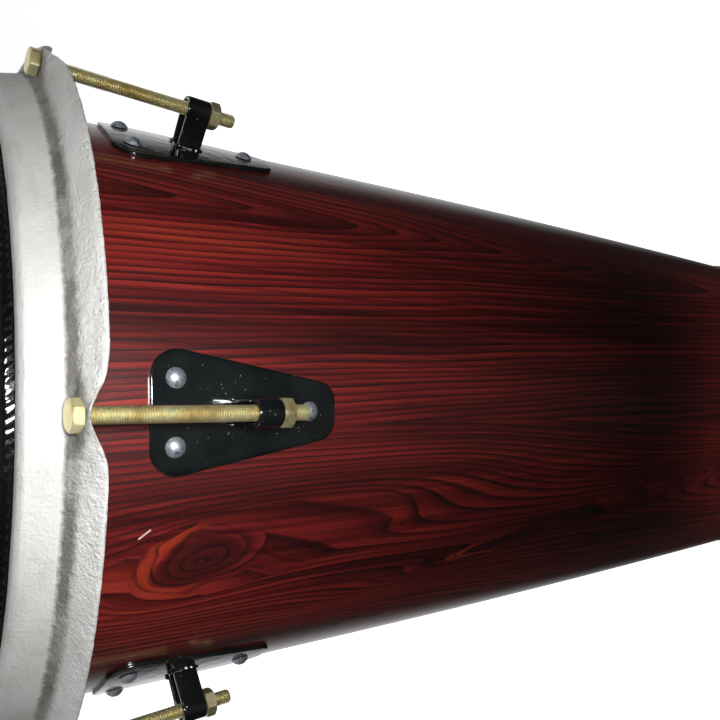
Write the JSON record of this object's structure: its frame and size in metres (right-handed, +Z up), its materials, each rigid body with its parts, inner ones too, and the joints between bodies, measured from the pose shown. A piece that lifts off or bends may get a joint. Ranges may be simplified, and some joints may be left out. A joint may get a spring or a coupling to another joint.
{
  "type": "tom tom drum",
  "caption": "Tall tapered wood-grain hand drum with one glossy black head, a cast metal tuning hoop and bolted lug brackets round the rim.",
  "frame": {"origin": "centre of the base ring's underside, on the drum's axis", "axes": "+Z up the drum's axis towards the head; lug 1 faces -Y"},
  "size_m": [0.4256, 0.4284, 0.7],
  "materials": {
    "laminate": "gloss-lacquered red-brown wood-grain laminate",
    "bare_wood": "bare plywood",
    "head_film": "gloss black film, gathered at the rim",
    "cast_aluminium": "rough sand-cast, lightly dressed",
    "flesh_hoop_wrap": "steel hoop wrapped in black film",
    "black_paint": "gloss black enamel with chipped edges",
    "yellow_zinc": "yellow-passivated zinc",
    "bright_zinc": "bright zinc",
    "rubber": "matt black"
  },
  "bodies": {
    "shell_assembly": {"shell": "laminate", "inner_ring": "bare_wood", "base_ring": "rubber", "head_film": "head_film", "lug_bracket_1": "black_paint", "lug_bracket_2": "black_paint", "lug_bracket_3": "black_paint", "lug_bracket_4": "black_paint", "lug_bracket_5": "black_paint", "lug_bracket_6": "black_paint", "tension_nut_1": "yellow_zinc", "tension_nut_2": "yellow_zinc", "tension_nut_3": "yellow_zinc", "tension_nut_4": "yellow_zinc", "tension_nut_5": "yellow_zinc", "tension_nut_6": "yellow_zinc", "lug_screw_1a": "bright_zinc", "lug_screw_1b": "bright_zinc", "lug_screw_1c": "bright_zinc", "lug_screw_2a": "bright_zinc", "lug_screw_2b": "bright_zinc", "lug_screw_2c": "bright_zinc", "lug_screw_3a": "bright_zinc", "lug_screw_3b": "bright_zinc", "lug_screw_3c": "bright_zinc", "lug_screw_4a": "bright_zinc", "lug_screw_4b": "bright_zinc", "lug_screw_4c": "bright_zinc", "lug_screw_5a": "bright_zinc", "lug_screw_5b": "bright_zinc", "lug_screw_5c": "bright_zinc", "lug_screw_6a": "bright_zinc", "lug_screw_6b": "bright_zinc", "lug_screw_6c": "bright_zinc", "screw_nut_1a": "bright_zinc", "screw_nut_1b": "bright_zinc", "screw_nut_1c": "bright_zinc", "screw_nut_2a": "bright_zinc", "screw_nut_2b": "bright_zinc", "screw_nut_2c": "bright_zinc", "screw_nut_3a": "bright_zinc", "screw_nut_3b": "bright_zinc", "screw_nut_3c": "bright_zinc", "screw_nut_4a": "bright_zinc", "screw_nut_4b": "bright_zinc", "screw_nut_4c": "bright_zinc", "screw_nut_5a": "bright_zinc", "screw_nut_5b": "bright_zinc", "screw_nut_5c": "bright_zinc", "screw_nut_6a": "bright_zinc", "screw_nut_6b": "bright_zinc", "screw_nut_6c": "bright_zinc"},
    "tuning_hoop": {"counter_hoop": "cast_aluminium", "flesh_hoop": "flesh_hoop_wrap"},
    "tension_bolt_1": {"tension_bolt_1": "yellow_zinc"},
    "tension_bolt_2": {"tension_bolt_2": "yellow_zinc"},
    "tension_bolt_3": {"tension_bolt_3": "yellow_zinc"},
    "tension_bolt_4": {"tension_bolt_4": "yellow_zinc"},
    "tension_bolt_5": {"tension_bolt_5": "yellow_zinc"},
    "tension_bolt_6": {"tension_bolt_6": "yellow_zinc"}
  },
  "joints": [
    {"name": "hoop_slide", "type": "slide", "parent": "shell_assembly", "child": "tuning_hoop", "axis": [0, 0, -1], "range_m": [-0.003, 0.003]},
    {"name": "bolt_turn_1", "type": "hinge", "parent": "tuning_hoop", "child": "tension_bolt_1", "pos_m": [0, -0.2054, 0.6725], "axis": [0, 0.1056, -0.9944], "range_deg": [-870, 870]},
    {"name": "bolt_turn_2", "type": "hinge", "parent": "tuning_hoop", "child": "tension_bolt_2", "pos_m": [0.17788, -0.1027, 0.6725], "axis": [-0.0914, 0.0528, -0.9944], "range_deg": [-870, 870]},
    {"name": "bolt_turn_3", "type": "hinge", "parent": "tuning_hoop", "child": "tension_bolt_3", "pos_m": [0.17788, 0.1027, 0.6725], "axis": [-0.0914, -0.0528, -0.9944], "range_deg": [-870, 870]},
    {"name": "bolt_turn_4", "type": "hinge", "parent": "tuning_hoop", "child": "tension_bolt_4", "pos_m": [0, 0.2054, 0.6725], "axis": [0, -0.1056, -0.9944], "range_deg": [-870, 870]},
    {"name": "bolt_turn_5", "type": "hinge", "parent": "tuning_hoop", "child": "tension_bolt_5", "pos_m": [-0.17788, 0.1027, 0.6725], "axis": [0.0914, -0.0528, -0.9944], "range_deg": [-870, 870]},
    {"name": "bolt_turn_6", "type": "hinge", "parent": "tuning_hoop", "child": "tension_bolt_6", "pos_m": [-0.17788, -0.1027, 0.6725], "axis": [0.0914, 0.0528, -0.9944], "range_deg": [-870, 870]}
  ],
  "couplings": [
    {"joint": "bolt_turn_1", "follows": "hoop_slide", "rad_per_m": 5026.5},
    {"joint": "bolt_turn_2", "follows": "hoop_slide", "rad_per_m": 5026.5},
    {"joint": "bolt_turn_3", "follows": "hoop_slide", "rad_per_m": 5026.5},
    {"joint": "bolt_turn_4", "follows": "hoop_slide", "rad_per_m": 5026.5},
    {"joint": "bolt_turn_5", "follows": "hoop_slide", "rad_per_m": 5026.5},
    {"joint": "bolt_turn_6", "follows": "hoop_slide", "rad_per_m": 5026.5}
  ]
}
